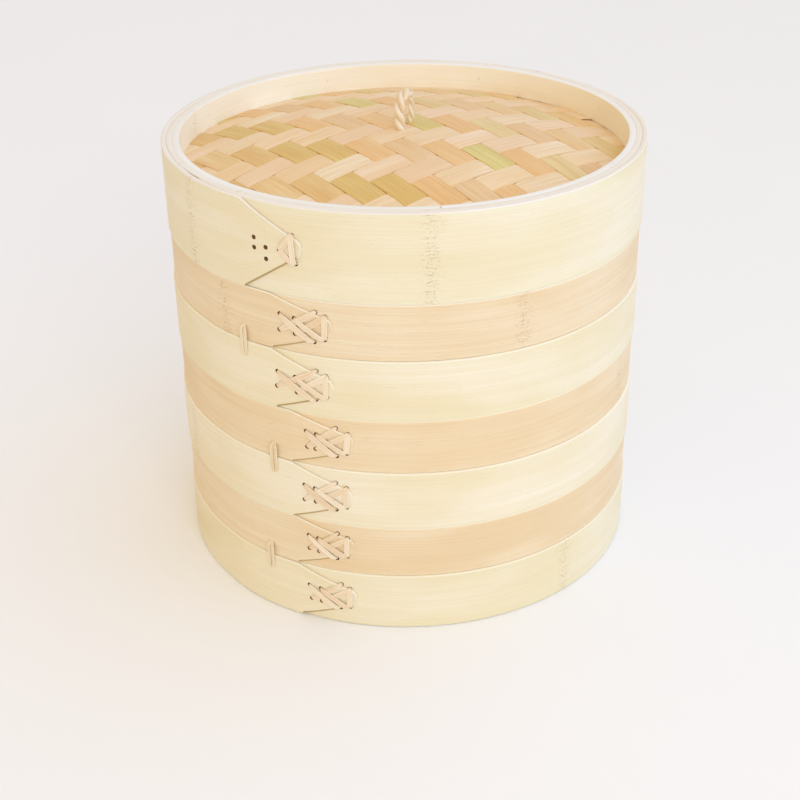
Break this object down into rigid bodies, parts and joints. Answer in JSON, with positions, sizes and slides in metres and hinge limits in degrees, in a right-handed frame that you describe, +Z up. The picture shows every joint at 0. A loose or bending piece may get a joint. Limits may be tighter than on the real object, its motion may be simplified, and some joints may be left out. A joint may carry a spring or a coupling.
{
  "type": "bamboo steamer",
  "caption": "Stacking round bamboo steamer with laced hoops, slatted floors and a woven domed lid with a twisted loop.",
  "frame": {"origin": "centre of the bottom hoop, on the surface the stack stands on", "axes": "+Z up through the lid's loop; -Y is the side with the laced ends of the hoops, which are a little towards -X"},
  "size_m": [0.24, 0.24, 0.2379],
  "materials": {
    "cream_splint": "pale planed bamboo, satin",
    "tan_splint": "planed bamboo with more of the warm outer wood, satin",
    "wall_splint": "planed bamboo, matt",
    "green_split_bar": "half-round bamboo with its skin left on, satin",
    "slat_bamboo": "planed bamboo, matt",
    "lacing_splint": "thin flexible bamboo splint, satin",
    "pin_bamboo": "whittled bamboo, matt",
    "woven_splint": "woven flat splints, light and golden by turns, satin",
    "dried_leaf": "dried bamboo leaf, matt"
  },
  "bodies": {
    "bottom_tier": {"bottom_tier_lower_hoop": "cream_splint", "bottom_tier_upper_hoop": "tan_splint", "bottom_tier_inner_wall": "wall_splint", "bottom_tier_clamp_ring": "wall_splint", "bottom_tier_support_ring": "wall_splint", "bottom_tier_left_cross_bar": "green_split_bar", "bottom_tier_right_cross_bar": "green_split_bar", "bottom_tier_floor_slats": "slat_bamboo", "bottom_tier_floor_lashings": "lacing_splint", "bottom_tier_wall_pins": "pin_bamboo", "bottom_tier_hoop_ties": "lacing_splint", "bottom_tier_lower_hoop_lacing": "lacing_splint", "bottom_tier_upper_hoop_lacing": "lacing_splint"},
    "middle_tier": {"middle_tier_lower_hoop": "cream_splint", "middle_tier_upper_hoop": "tan_splint", "middle_tier_inner_wall": "wall_splint", "middle_tier_clamp_ring": "wall_splint", "middle_tier_support_ring": "wall_splint", "middle_tier_left_cross_bar": "green_split_bar", "middle_tier_right_cross_bar": "green_split_bar", "middle_tier_floor_slats": "slat_bamboo", "middle_tier_floor_lashings": "lacing_splint", "middle_tier_wall_pins": "pin_bamboo", "middle_tier_hoop_ties": "lacing_splint", "middle_tier_lower_hoop_lacing": "lacing_splint", "middle_tier_upper_hoop_lacing": "lacing_splint"},
    "top_tier": {"top_tier_lower_hoop": "cream_splint", "top_tier_upper_hoop": "tan_splint", "top_tier_inner_wall": "wall_splint", "top_tier_clamp_ring": "wall_splint", "top_tier_support_ring": "wall_splint", "top_tier_left_cross_bar": "green_split_bar", "top_tier_right_cross_bar": "green_split_bar", "top_tier_floor_slats": "slat_bamboo", "top_tier_floor_lashings": "lacing_splint", "top_tier_wall_pins": "pin_bamboo", "top_tier_hoop_ties": "lacing_splint", "top_tier_lower_hoop_lacing": "lacing_splint", "top_tier_upper_hoop_lacing": "lacing_splint"},
    "lid": {"lid_hoop": "cream_splint", "lid_inner_hoop": "wall_splint", "lid_clamp_ring": "wall_splint", "lid_under_ring": "wall_splint", "lid_woven_top": "woven_splint", "lid_leaf_layer": "dried_leaf", "lid_woven_lining": "woven_splint", "lid_pins": "pin_bamboo", "lid_hoop_lacing": "lacing_splint", "lid_loop": "lacing_splint", "lid_loop_peg": "pin_bamboo"}
  },
  "joints": [
    {"name": "middle_tier_lift", "type": "slide", "parent": "bottom_tier", "child": "middle_tier", "axis": [0, 0, 1], "range_m": [0, 0.08]},
    {"name": "top_tier_lift", "type": "slide", "parent": "middle_tier", "child": "top_tier", "axis": [0, 0, 1], "range_m": [0, 0.08]},
    {"name": "lid_lift", "type": "slide", "parent": "top_tier", "child": "lid", "axis": [0, 0, 1], "range_m": [0, 0.08]}
  ]
}
